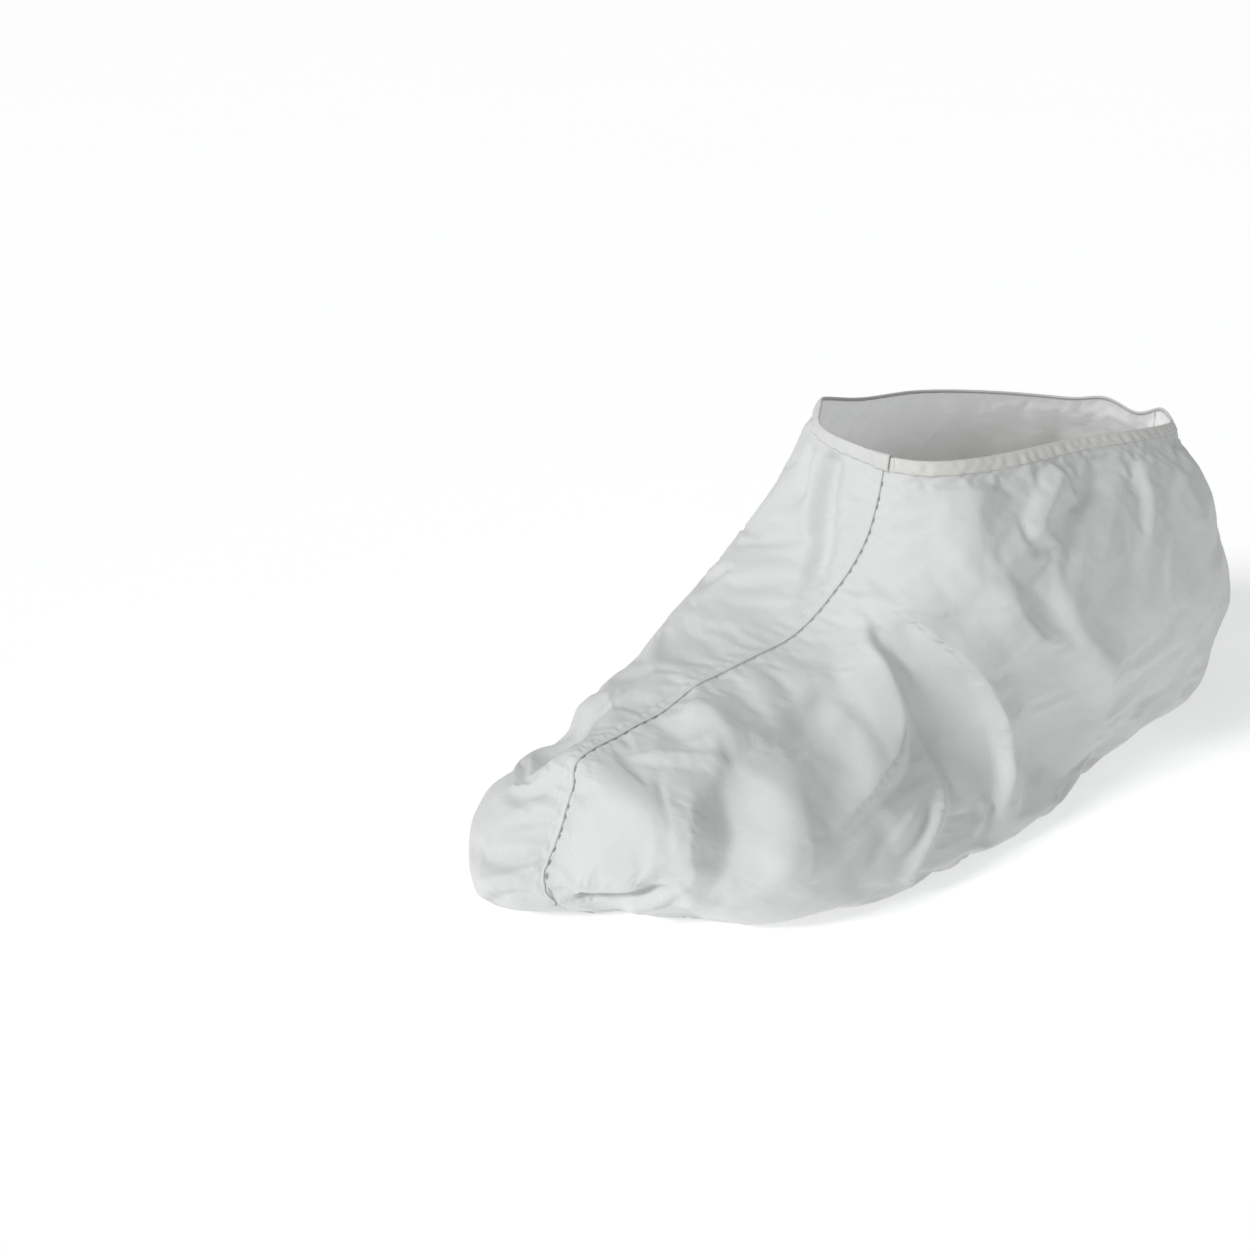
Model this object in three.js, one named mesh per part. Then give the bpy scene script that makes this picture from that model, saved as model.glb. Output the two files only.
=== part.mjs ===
import * as THREE from 'three';

// Shoe cover, millimetres. X runs along the foot with the toe at -X, Y across it, Z up from the floor.
// The cloth is a sock-like skin: u runs from the ankle opening (0) to the toe (1),
// v runs round it from the instep seam (0) over the left side to the sole (pi) and back over the right.
const clothThick = 1.2;
const seamGap = 0.36; // between the two panels
const tuckGap = 0.3; // the extra that each panel parts by under the toe
const restGap = 0.36; // under the centre seam
const bandGap = 0.42; // between the opening band and the cloth
const bandTall = 6.5;
const bandInside = 4;
const bandThick = 0.9;
const bandLapStep = 0.9; // how far the lap end stands out
const rimRise = 5; // the left rim stands this much higher than the right
const rimRiseAlong = 0.114; // how far down the cover the rise fades
const rimRiseAt = 1.7; // where it peaks round the rim
const middleDrift = 1.5; // how late a ring's middle moves over to the seam and the sole line
const soleFade = 16; // folds fade out within this height of the floor
const endFade = 0.25; // share of a fold's length over which each end fades
const endHeight = 0.3; // height left at a fold's ends
const ringsAlong = 52;
const firstStep = 0.027; // the first ring step, which is the height of the opening band
const turn = 0.004; // step along for slopes
const swing = 0.02; // step round for slopes

// One row per ring of the skin, opening first.
// topX/Y/Z: where the ring crosses the instep seam. soleX/Y/Z: where it crosses the heel or sole line.
// midY, left, right: middle and half widths at the widest level. belly: how far up that level is.
// leftN, rightN, soleN: squareness of the quarters.
const ringColumns = [
  'topX', 'topY', 'topZ', 'soleX', 'soleY', 'soleZ',
  'midY', 'left', 'right', 'belly', 'leftN', 'rightN', 'soleN',
];
const rings = [
  [-12, -20, 164, 160, -15, 146, 0, 42, 54, 0.50, 2.0, 4.4, 1.8],
  [-13, -19, 147, 178, -11, 124, 0, 52, 64, 0.50, 2.1, 4.2, 2.1],
  [-16, -17, 130, 193, -6, 97, 0, 59, 71, 0.50, 2.2, 3.9, 2.3],
  [-26, -14, 112, 203, -3, 66, 0, 62, 75, 0.49, 2.2, 3.4, 2.5],
  [-44, -11, 97, 199, 0, 35, 0, 60, 77, 0.46, 2.2, 3.4, 2.4],
  [-66, -9, 90, 176, 0, 9, 0, 58, 77, 0.42, 2.2, 3.2, 2.3],
  [-86, -7, 85, 128, 0, -3, 0, 58, 75, 0.38, 2.2, 2.9, 2.5],
  [-104, -5, 79, 68, 0, -6, 0, 69, 71, 0.37, 2.2, 2.6, 3.4],
  [-120, -4, 75, 10, 0, -6, 0, 74, 65, 0.37, 2.2, 2.4, 3.6],
  [-134, -3, 71, -44, 0, -6, 0, 72, 60, 0.39, 2.2, 2.3, 3.4],
  [-145, -3, 68, -90, -2, -5, 0, 61, 55, 0.42, 2.2, 2.2, 2.9],
  [-151, -4, 61, -114, -3, -4, -1, 41, 51, 0.46, 2.1, 2.2, 2.4],
  [-155, -5, 46, -128, -4, -3, -3, 26, 49, 0.50, 2.0, 2.2, 2.4],
  [-155, -7, 27, -136, -6, -2, -6, 12, 40, 0.52, 2.0, 2.4, 2.4],
  [-144, -9, 7, -138, -8, 1, -8, 3.5, 7, 0.60, 2.0, 2.0, 2.0],
];

// Soft swellings of the skin: centre, radius, and the shift at the centre.
const swellColumns = ['x', 'y', 'z', 'radius', 'moveX', 'moveY', 'moveZ'];
const swells = [
  [-158, 20, 17, 27, -23, 1, -6],
  [-146, -34, 34, 26, -4, -3, 0],
  [0, 46, 112, 42, -8, 4, 2],
  [-30, 50, 92, 34, -6, 3, 3],
  [12, 46, 166, 22, -2, 3, 5],
  [-162, 10, 8, 20, -14, -4, -2],
  [-98, -64, 34, 24, 0, -4, 0],
];

// Folds: a curve bent through three points on the cloth, how wide the fold is and how high it stands.
// A negative height is a valley.
const foldColumns = ['x0', 'y0', 'z0', 'x1', 'y1', 'z1', 'x2', 'y2', 'z2', 'wide', 'high'];
const folds = [
  [-23, -33, 109, 10, -56, 74, 17, -71, 12, 10, 7],
  [-30, -38, 96, -24, -56, 62, -14, -70, 28, 10, -6],
  [-20, -68, 41, -32, -74, 22, -40, -73, 8, 8, 3.5],
  [-43, -44, 82, -32, -56, 62, -80, -71, 38, 11, 6],
  [-84, -52, 60, -71, -51, 66, -58, -48, 71, 13, -5],
  [8, -69, 32, 2, -71, 24, -6, -72, 15, 7, -2.2],
  [13, -44, 160, 3, -47, 136, -21, -32, 112, 9, 3.5],
  [60, -48, 154, 38, -57, 132, 11, -53, 122, 9, 3.2],
  [80, -47, 153, 74, -52, 141, 64, -57, 124, 9, 2.4],
  [36, -48, 158, 24, -53, 140, 4, -52, 127, 9, -3],
  [18, -56, 120, 30, -60, 100, 54, -62, 88, 10, -4],
  [86, -61, 68, 92, -60, 54, 97, -59, 38, 14, 5],
  [82, -58, 18, 93, -58, 15, 106, -56, 12, 9, 3],
  [-153, -24, 17, -144, -41, 26, -126, -55, 33, 7.5, -4],
  [-127, -30, 70, -135, -46, 58, -131, -54, 40, 10, -5],
  [-122, -50, 56, -120, -56, 44, -115, -60, 28, 9, -2.4],
  [-12, 9, 160, -17, 6, 134, -40, -3, 100, 8, -3],
  [-13, 24, 150, -16, 23, 137, -21, 20, 124, 8, -2],
  [-146, -4, 67, -158, -5, 45, -152, -9, 12, 10, -4],
  [-24, 34, 112, 20, 70, 84, 30, 72, 20, 11, 4],
  [-36, 40, 98, -10, 66, 66, -8, 70, 26, 11, -4],
  [58, 52, 152, 48, 66, 128, 22, 68, 112, 9, 3],
  [112, 46, 148, 108, 60, 124, 96, 68, 104, 9, 2.4],
  [120, -40, 148, 124, -50, 128, 116, -58, 108, 9, 2.2],
  [196, 10, 92, 200, -20, 66, 178, -46, 44, 12, 3],
  [-100, 40, 66, -92, 56, 46, -84, 60, 24, 11, -3],
];

const pick = (columns, row) => Object.fromEntries(columns.map((name, k) => [name, row[k]]));
const swellRows = swells.map((row) => pick(swellColumns, row));
const foldRows = folds.map((row) => pick(foldColumns, row));

// A smooth curve through the ring rows.
function ringAt(u) {
  const last = rings.length - 1;
  const t = Math.min(Math.max(u, 0), 1) * last;
  const i = Math.min(Math.floor(t), last - 1);
  const f = t - i;
  const row = (k) => rings[Math.min(Math.max(k, 0), last)];
  const values = ringColumns.map((_, k) => {
    const p1 = row(i)[k];
    const p2 = row(i + 1)[k];
    const p0 = i === 0 ? 2 * p1 - p2 : row(i - 1)[k];
    const p3 = i + 2 > last ? 2 * p2 - p1 : row(i + 2)[k];
    const bend = 2 * p0 - 5 * p1 + 4 * p2 - p3;
    const twist = 3 * p1 - p0 - 3 * p2 + p3;
    return 0.5 * (2 * p1 + (p2 - p0) * f + bend * f ** 2 + twist * f ** 3);
  });
  return pick(ringColumns, values);
}

// The unfolded skin.
function skin(u, v) {
  const r = ringAt(u);
  const c = Math.cos(v);
  const s = Math.sin(v);
  const n = c < 0 ? r.soleN : v <= Math.PI ? r.leftN : r.rightN;
  const up = Math.sign(c) * Math.abs(c) ** (2 / n);
  const out = Math.abs(s) ** (2 / n);
  const h = c >= 0 ? r.belly + (1 - r.belly) * up : r.belly * (1 + up);
  const side = v <= Math.PI ? -r.left : r.right;
  const toTop = Math.max(up, 0) ** middleDrift;
  const toSole = Math.max(-up, 0) ** middleDrift;
  const p = new THREE.Vector3(
    r.soleX + (r.topX - r.soleX) * h,
    r.midY + side * out + (r.topY - r.midY) * toTop + (r.soleY - r.midY) * toSole,
    r.soleZ + (r.topZ - r.soleZ) * h,
  );
  p.z += rimRise * Math.exp(-((u / rimRiseAlong) ** 2) - (v - rimRiseAt) ** 2);
  const at = p.clone();
  for (const w of swellRows) {
    const d2 = (at.x - w.x) ** 2 + (at.y - w.y) ** 2 + (at.z - w.z) ** 2;
    const k = Math.exp(-d2 / w.radius ** 2);
    p.x += k * w.moveX;
    p.y += k * w.moveY;
    p.z += k * w.moveZ;
  }
  return p;
}

const smooth = (t) => {
  const k = Math.min(Math.max(t, 0), 1);
  return k * k * (3 - 2 * k);
};

// Each fold as a run of short straight pieces along its curve.
const foldPieces = 10;
const foldPaths = foldRows.map((f) => {
  const ends = [];
  for (let k = 0; k <= foldPieces; k += 1) {
    const t = k / foldPieces;
    // weights that make the curve pass through the middle point
    const a = (1 - t) * (1 - 2 * t);
    const b = 4 * t * (1 - t);
    const c = t * (2 * t - 1);
    ends.push(new THREE.Vector3(
      a * f.x0 + b * f.x1 + c * f.x2,
      a * f.y0 + b * f.y1 + c * f.y2,
      a * f.z0 + b * f.z1 + c * f.z2,
    ));
  }
  return ends;
});

// How far the folds lift the cloth at a point, fading out toward each fold's ends.
function foldLift(p) {
  let lift = 0;
  const near = new THREE.Vector3();
  foldRows.forEach((f, which) => {
    const ends = foldPaths[which];
    let best = 1e9;
    let bestT = 0;
    for (let k = 0; k < foldPieces; k += 1) {
      const line = new THREE.Line3(ends[k], ends[k + 1]);
      const t = line.closestPointToPointParameter(p, true);
      const d = line.at(t, near).distanceToSquared(p);
      if (d < best) {
        best = d;
        bestT = (k + t) / foldPieces;
      }
    }
    const body = smooth(bestT / endFade) * smooth((1 - bestT) / endFade);
    const fade = endHeight + (1 - endHeight) * body;
    lift += f.high * fade * Math.exp(-best / f.wide ** 2);
  });
  return lift;
}

// Stations round a ring, closer together where the cloth is folded and wide apart under the sole.
const sideSteps = [
  0, 0.12, 0.24, 0.36, 0.48, 0.6, 0.72, 0.84, 0.96, 1.08, 1.2, 1.32,
  1.44, 1.57, 1.7, 1.83, 1.96, 2.1, 2.25, 2.42, 2.62, 2.86, Math.PI,
];
const ringSteps = [...sideSteps, ...sideSteps.slice(0, -1).reverse().map((v) => 2 * Math.PI - v)];

// Stations along the cover.
const alongSteps = [0, firstStep];
for (let i = 1; i < ringsAlong; i += 1) {
  alongSteps.push(firstStep + (1 - firstStep) * (i / (ringsAlong - 1)));
}

function skinNormal(u, v) {
  const wrap = (a) => (a + 2 * Math.PI) % (2 * Math.PI);
  const du = skin(Math.min(u + turn, 1), wrap(v)).sub(skin(Math.max(u - turn, 0), wrap(v)));
  const dv = skin(u, wrap(v + swing)).sub(skin(u, wrap(v - swing)));
  return du.cross(dv).normalize();
}

// Outside face of the cloth on the whole ring grid.
const outside = alongSteps.map((u) => ringSteps.map((v) => {
  const p = skin(u, v % (2 * Math.PI));
  const rim = smooth((u - firstStep / 2) / (2 * firstStep));
  const tip = smooth((1 - u) / (3 * firstStep));
  const sole = smooth(p.z / soleFade);
  p.addScaledVector(skinNormal(u, v), foldLift(p) * rim * tip * sole);
  p.z = Math.max(p.z, 0);
  return p;
}));

const lastRing = alongSteps.length - 1;
const lastSide = ringSteps.length - 1;
const soleStep = sideSteps.length - 1;

function gridNormal(i, j) {
  const i0 = Math.max(i - 1, 0);
  const i1 = Math.min(i + 1, lastRing);
  const j0 = j === 0 ? lastSide - 1 : j - 1;
  const j1 = j === lastSide ? 1 : j + 1;
  const du = outside[i1][j].clone().sub(outside[i0][j]);
  const dv = outside[i][j1].clone().sub(outside[i][j0]);
  return du.cross(dv).normalize();
}

const outward = outside.map((ring, i) => ring.map((_, j) => gridNormal(i, j)));
const inside = outside.map((ring, i) => ring.map((p, j) => {
  const q = p.clone().addScaledVector(outward[i][j], -clothThick);
  // over the flat sole the wall is straight up from the floor
  q.z = Math.max(q.z, clothThick);
  return q;
}));

// Direction of growing v, used to part the two panels at their seams.
function across(i, j) {
  const j0 = j === 0 ? lastSide - 1 : j - 1;
  const j1 = j === lastSide ? 1 : j + 1;
  return outside[i][j1].clone().sub(outside[i][j0]).normalize();
}

class Solid {
  constructor() {
    this.points = [];
    this.faces = [];
  }

  add(p) {
    this.points.push(p.x, p.y, p.z);
    return this.points.length / 3 - 1;
  }

  quad(a, b, c, d) {
    this.faces.push(a, b, c, a, c, d);
  }

  // Splits a quad along its shorter diagonal.
  cloth(a, b, c, d) {
    const at = (k) => new THREE.Vector3(...this.points.slice(3 * k, 3 * k + 3));
    if (at(a).distanceTo(at(c)) <= at(b).distanceTo(at(d))) this.faces.push(a, b, c, a, c, d);
    else this.faces.push(a, b, d, b, c, d);
  }

  mesh(name, material) {
    const geometry = new THREE.BufferGeometry();
    geometry.setAttribute('position', new THREE.Float32BufferAttribute(this.points, 3));
    geometry.setIndex(this.faces);
    geometry.computeVertexNormals();
    const mesh = new THREE.Mesh(geometry, material);
    mesh.name = name;
    return mesh;
  }
}

// One side panel: the cloth between the instep seam and the sole line.
function panel(fromSide, toSide) {
  const solid = new Solid();
  const shifted = (grid, i, j) => {
    const p = grid[i][j].clone();
    // the seam parts a little where it tucks under the toe
    const part = seamGap / 2 + tuckGap * (1 - smooth((1 - alongSteps[i]) / (2 * firstStep)));
    if (j === fromSide) p.addScaledVector(across(i, j), part);
    if (j === toSide) p.addScaledVector(across(i, j), -part);
    return p;
  };
  const outer = [];
  const inner = [];
  for (let i = 0; i <= lastRing; i += 1) {
    outer.push([]);
    inner.push([]);
    for (let j = fromSide; j <= toSide; j += 1) {
      outer[i].push(solid.add(shifted(outside, i, j)));
      inner[i].push(solid.add(shifted(inside, i, j)));
    }
  }
  const wide = toSide - fromSide;
  for (let i = 0; i < lastRing; i += 1) {
    for (let j = 0; j < wide; j += 1) {
      solid.cloth(outer[i][j], outer[i + 1][j], outer[i + 1][j + 1], outer[i][j + 1]);
      solid.cloth(inner[i][j], inner[i][j + 1], inner[i + 1][j + 1], inner[i + 1][j]);
    }
    solid.quad(outer[i][0], inner[i][0], inner[i + 1][0], outer[i + 1][0]);
    solid.quad(outer[i][wide], outer[i + 1][wide], inner[i + 1][wide], inner[i][wide]);
  }
  for (let j = 0; j < wide; j += 1) {
    solid.quad(outer[0][j], outer[0][j + 1], inner[0][j + 1], inner[0][j]);
    solid.quad(outer[lastRing][j], inner[lastRing][j], inner[lastRing][j + 1], outer[lastRing][j + 1]);
  }
  return solid;
}

// A closed loop of points per station, joined into a tube with flat ends.
function sweep(loops) {
  const solid = new Solid();
  const ids = loops.map((loop) => loop.map((p) => solid.add(p)));
  const n = loops[0].length;
  for (let i = 0; i + 1 < ids.length; i += 1) {
    for (let k = 0; k < n; k += 1) {
      const m = (k + 1) % n;
      solid.quad(ids[i][k], ids[i][m], ids[i + 1][m], ids[i + 1][k]);
    }
  }
  const cap = (ring, flip) => {
    const arms = loops[ring].map((p) => p.clone().sub(loops[ring][0]));
    const e1 = arms[1].clone().normalize();
    const normal = new THREE.Vector3();
    for (let k = 0; k < n; k += 1) normal.add(arms[k].clone().cross(arms[(k + 1) % n]));
    const e2 = normal.normalize().clone().cross(e1);
    const shape = arms.map((arm) => new THREE.Vector2(arm.dot(e1), arm.dot(e2)));
    for (const [a, b, c] of THREE.ShapeUtils.triangulateShape(shape, [])) {
      if (flip) solid.faces.push(ids[ring][a], ids[ring][c], ids[ring][b]);
      else solid.faces.push(ids[ring][a], ids[ring][b], ids[ring][c]);
    }
  };
  cap(0, true);
  cap(loops.length - 1, false);
  return solid;
}

// Point on the faceted outside face a few millimetres round the ring from the instep seam (+ left, - right).
function besideSeam(i, offset, lift) {
  const j = offset >= 0 ? 1 : lastSide - 1;
  const a = outside[i][0];
  const b = outside[i][j];
  const t = Math.min(Math.abs(offset) / a.distanceTo(b), 1);
  const n = outward[i][0].clone().lerp(outward[i][j], t).normalize();
  return a.clone().lerp(b, t).addScaledVector(n, lift);
}

// The instep seam: a fine ridge by the ankle that turns into a flat strip lying to the right over the toe.
const seamColumns = ['along', 'left', 'right', 'high'];
const seamTable = [
  [0, 1.3, 1.3, 1.1],
  [0.2, 1.3, 1.5, 1.1],
  [0.32, 0.9, 5.0, 0.9],
  [0.6, 0.9, 5.8, 0.9],
  [0.86, 0.9, 5.4, 0.9],
  [1, 0.9, 2.4, 0.8],
].map((row) => pick(seamColumns, row));

function seamSize(u) {
  const k = Math.max(1, seamTable.findIndex((row) => row.along >= u));
  const a = seamTable[k - 1];
  const b = seamTable[k];
  const t = (u - a.along) / (b.along - a.along);
  return {
    left: a.left + (b.left - a.left) * t,
    right: a.right + (b.right - a.right) * t,
    high: a.high + (b.high - a.high) * t,
  };
}

// Shape of the strip's section, as shares of its widths and height.
const seamNearTop = 0.8;
const seamMiddleTop = 1.15;
const seamFarTop = 0.9;
const seamFarHigh = 0.8;
const seamStart = 0.08; // share of the first step left clear of the opening band

function centreSeam() {
  const loops = [];
  for (let i = 1; i < lastRing; i += 1) {
    const size = seamSize(alongSteps[i]);
    const loop = [
      besideSeam(i, -size.right, restGap),
      besideSeam(i, 0, restGap),
      besideSeam(i, size.left, restGap),
      besideSeam(i, size.left * seamNearTop, restGap + size.high),
      besideSeam(i, 0, restGap + size.high * seamMiddleTop),
      besideSeam(i, -size.right * seamFarTop, restGap + size.high * seamFarHigh),
    ];
    loops.push(loop);
  }
  loops[0] = loops[0].map((p, k) => p.clone().lerp(loops[1][k], seamStart));
  return sweep(loops);
}

// The opening band: a folded binding that wraps the rim, its lap end beside the instep seam on the left.
// Where the band starts, steps up and ends, as shares of a ring step beside the seam.
const bandStart = 0.3;
const bandRise = 0.7;
const bandEnd = 0.16;

function openingBand() {
  const loops = [];
  const station = (j, t, step) => {
    const mix = (grid, i) => grid[i][j].clone().lerp(grid[i][j + 1], t);
    const n = mix(outward, 0).normalize();
    const top = mix(outside, 0);
    const low = mix(outside, 1);
    const topIn = mix(inside, 0);
    const lowIn = mix(inside, 1);
    const down = low.clone().sub(top).normalize();
    const rise = (p, by) => p.clone().addScaledVector(down, -by);
    const out = bandGap + step;
    const lowN = mix(outward, 1).normalize();
    const inLow = topIn.clone().lerp(lowIn, bandInside / bandTall);
    return [
      low.clone().addScaledVector(lowN, out + bandThick),
      rise(top.clone().addScaledVector(n, out + bandThick), bandGap + bandThick),
      rise(topIn.clone().addScaledVector(n, -bandGap - bandThick), bandGap + bandThick),
      inLow.clone().addScaledVector(n, -bandGap - bandThick),
      inLow.clone().addScaledVector(n, -bandGap),
      rise(topIn.clone().addScaledVector(n, -bandGap), bandGap),
      rise(top.clone().addScaledVector(n, out), bandGap),
      low.clone().addScaledVector(lowN, out),
    ];
  };
  loops.push(station(1, bandStart, 0));
  for (let j = 2; j < lastSide; j += 1) loops.push(station(j, 0, 0));
  loops.push(station(lastSide - 1, bandRise, bandLapStep / 2));
  loops.push(station(0, 0, bandLapStep));
  loops.push(station(1, bandEnd, bandLapStep));
  return sweep(loops.reverse());
}

const fabric = (red, green, blue, roughness) => new THREE.MeshStandardMaterial({
  color: new THREE.Color(red, green, blue),
  roughness,
  metalness: 0,
});
const cloth = fabric(0.86, 0.86, 0.855, 0.62);
const binding = fabric(0.84, 0.82, 0.775, 0.7);

const group = new THREE.Group();
group.name = 'shoe_cover';
group.add(panel(0, soleStep).mesh('left_side', cloth));
group.add(panel(soleStep, lastSide).mesh('right_side', cloth));
group.add(centreSeam().mesh('centre_seam', cloth));
group.add(openingBand().mesh('opening_band', binding));

const box = new THREE.Box3().setFromObject(group);
const middle = box.getCenter(new THREE.Vector3());
group.position.set(-middle.x, -middle.y, -box.min.z);

export default group;
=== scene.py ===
import math

import bpy
import numpy as np
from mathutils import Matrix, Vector


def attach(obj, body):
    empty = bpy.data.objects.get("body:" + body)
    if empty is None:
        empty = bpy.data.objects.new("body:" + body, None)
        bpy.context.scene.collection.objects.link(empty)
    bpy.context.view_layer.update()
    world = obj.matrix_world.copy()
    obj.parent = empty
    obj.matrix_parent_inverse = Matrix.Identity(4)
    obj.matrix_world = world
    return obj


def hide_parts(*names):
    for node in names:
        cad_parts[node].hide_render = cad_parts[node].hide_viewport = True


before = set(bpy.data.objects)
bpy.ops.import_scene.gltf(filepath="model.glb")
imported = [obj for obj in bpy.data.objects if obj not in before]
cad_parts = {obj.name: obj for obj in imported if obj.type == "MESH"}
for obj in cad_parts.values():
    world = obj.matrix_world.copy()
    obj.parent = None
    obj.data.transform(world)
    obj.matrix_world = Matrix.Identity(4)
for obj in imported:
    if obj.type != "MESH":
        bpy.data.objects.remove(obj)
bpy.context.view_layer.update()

scene = bpy.context.scene
print("frame loaded:", sorted(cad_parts))


shot = dict(target=(-0.0872, 0.0610, 0.080), distance=0.789, azimuth=-36.5, elevation=24.5,
            lens=54.72, nearest=0.05, farthest=30)


def aim(thing, back):
    thing.rotation_mode = "QUATERNION"
    thing.rotation_quaternion = back.to_track_quat("Z", "Y")


def directionOf(azimuth, elevation):
    a, e = math.radians(azimuth), math.radians(elevation)
    return Vector((math.sin(a) * math.cos(e), -math.cos(a) * math.cos(e), math.sin(e)))


def placeCamera(shot):
    back = directionOf(shot["azimuth"], shot["elevation"])
    bpy.ops.object.camera_add(location=Vector(shot["target"]) + back * shot["distance"])
    camera = bpy.context.object
    aim(camera, back)
    camera.data.lens = shot["lens"]
    camera.data.clip_start = shot["nearest"]
    camera.data.clip_end = shot["farthest"]
    scene.camera = camera


placeCamera(shot)
scene.view_settings.view_transform = "Standard"


lampDistance = 3.0  # metres; a sun lamp lights alike from any distance
lamps = {
    "keyLamp": dict(azimuth=-89, elevation=31, spread=13, strength=1.72, color=(1.0, 0.997, 0.99)),
    "topLamp": dict(azimuth=-60, elevation=75, spread=60, strength=0.42, color=(0.99, 0.995, 1.0)),
}


def placeLamps(lamps):
    for name, lamp in lamps.items():
        back = directionOf(lamp["azimuth"], lamp["elevation"])
        bpy.ops.object.light_add(type="SUN", location=back * lampDistance)
        light = bpy.context.object
        light.name = name
        aim(light, back)
        light.data.angle = math.radians(lamp["spread"])
        light.data.energy = lamp["strength"]
        light.data.color = lamp["color"]


placeLamps(lamps)


# a node socket that takes part in plain arithmetic
class Wire:
    def __init__(self, paint, socket):
        self.paint, self.socket = paint, socket

    def join(self, how, other, flipped=False):
        pair = (other, self) if flipped else (self, other)
        return self.paint.node("ShaderNodeMath", dict(operation=how), {0: pair[0], 1: pair[1]})

    def __add__(self, other):
        return self.join("ADD", other)

    def __radd__(self, other):
        return self.join("ADD", other, True)

    def __sub__(self, other):
        return self.join("SUBTRACT", other)

    def __rsub__(self, other):
        return self.join("SUBTRACT", other, True)

    def __mul__(self, other):
        return self.join("MULTIPLY", other)

    def __rmul__(self, other):
        return self.join("MULTIPLY", other, True)

    # 0 below low, 1 above high, and smooth between
    def step(self, low, high):
        return self.paint.node("ShaderNodeMapRange", dict(interpolation_type="SMOOTHSTEP"),
                               {"Value": self, "From Min": low, "From Max": high})


# a material and the nodes that feed its shader
class Paint:
    def __init__(self, name):
        self.material = bpy.data.materials.new(name)
        self.material.use_nodes = True
        self.tree = self.material.node_tree
        self.shader = self.tree.nodes["Principled BSDF"]

    def node(self, kind, settings=None, inputs=None, output=0):
        made = self.tree.nodes.new(kind)
        for key, value in (settings or {}).items():
            setattr(made, key, value)
        for key, value in (inputs or {}).items():
            self.feed(made.inputs[key], value)
        return Wire(self, made.outputs[output])

    def feed(self, socket, value):
        if isinstance(value, Wire):
            self.tree.links.new(value.socket, socket)
        else:
            socket.default_value = value

    def place(self, scale, turn=(0, 0, 0), onCloth=False):
        where = self.node("ShaderNodeTexCoord", output=2 if onCloth else 3)  # its UV map, or Object
        return self.node("ShaderNodeMapping", None, {"Vector": where, "Scale": scale, "Rotation": turn})

    def noise(self, where, detail=3.0, rough=0.5, twist=0.0, scale=1.0):
        return self.node("ShaderNodeTexNoise", None, {
            "Vector": where, "Scale": scale, "Detail": detail, "Roughness": rough, "Distortion": twist})

    def mix(self, amount, first, second):
        made = self.tree.nodes.new("ShaderNodeMix")
        made.data_type = "RGBA"
        for index, value in ((0, amount), (6, first), (7, second)):
            self.feed(made.inputs[index], value)
        return Wire(self, made.outputs[2])

    def bump(self, height, distance, strength=1.0, under=None):
        inputs = {"Height": height, "Distance": distance, "Strength": strength}
        if under:
            inputs["Normal"] = under
        return self.node("ShaderNodeBump", None, inputs)

    def finish(self, **sockets):
        for name, value in sockets.items():
            self.feed(self.shader.inputs[name], value)
        return self.material


clothLook = dict(fibres=(900, 160, 1), crossing=(160, 900, 1), clouds=38, blotches=9, bonds=620,
                 wrinkles=70, wrinkleDepth=0.0011, fibreDepth=0.00012, gloss=0.32, sheen=0.12,
                 sheenRoughness=0.5, swing=0.12, unlit=(0.10, 0.09, 0.08), lightThrough=(0.97, 0.98, 1.0))


# glow is painted light that stands for the light that comes through the thin cloth, with painted shade
# towards the bottom; it grows from the height dim to the height lit
def clothPaint(name, light, shade, roughness, glow=0.0, dim=0.0, lit=1.0):
    paint = Paint(name)
    onCloth = paint.place((1, 1, 1), onCloth=True)
    solid = paint.place((1, 1, 1))
    fibres = paint.noise(paint.place(clothLook["fibres"], (0, 0, 0.5), onCloth=True), detail=2)
    crossing = paint.noise(paint.place(clothLook["crossing"], (0, 0, 0.2), onCloth=True), detail=2)
    cloudy = paint.noise(solid, scale=clothLook["clouds"], detail=4, rough=0.6)
    blotch = paint.noise(solid, scale=clothLook["blotches"], detail=2)
    bonds = paint.node("ShaderNodeTexVoronoi", dict(feature="F1"),
                       {"Vector": onCloth, "Scale": clothLook["bonds"]})
    dots = 1 - bonds.step(0.12, 0.4)
    tone = (cloudy * 0.6 + blotch * 0.4).step(0.3, 0.7)
    color = paint.mix(tone, (*shade, 1), (*light, 1))
    height = fibres * 0.5 + crossing * 0.5 - dots * 0.25
    wrinkles = paint.noise(solid, scale=clothLook["wrinkles"], detail=3, twist=0.6)
    normal = paint.bump(wrinkles, clothLook["wrinkleDepth"], 0.5)
    normal = paint.bump(height, clothLook["fibreDepth"], 0.6, under=normal)
    paint.finish(**{
        "Base Color": color, "Roughness": roughness + (fibres - 0.5) * clothLook["swing"],
        "Specular IOR Level": clothLook["gloss"], "Sheen Weight": clothLook["sheen"],
        "Sheen Roughness": clothLook["sheenRoughness"], "Normal": normal})
    # painted light: an emission that is darker towards the bottom as painted shade
    if glow:
        level = paint.node("ShaderNodeSeparateXYZ", None, {"Vector": solid}, output=2).step(dim, lit)
        through = paint.mix(level, (*clothLook["unlit"], 1), (*clothLook["lightThrough"], 1))
        paint.finish(**{"Emission Color": through, "Emission Strength": glow})
    return paint.material


tapeLook = dict(weave=(300, 1400, 1), ribs=900, warmTo=(-0.026, -0.022), stain=(0.6, 0.59, 0.57),
                stainShare=0.35, depth=0.0001, gloss=0.3, sheen=0.15, swing=0.1)


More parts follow.
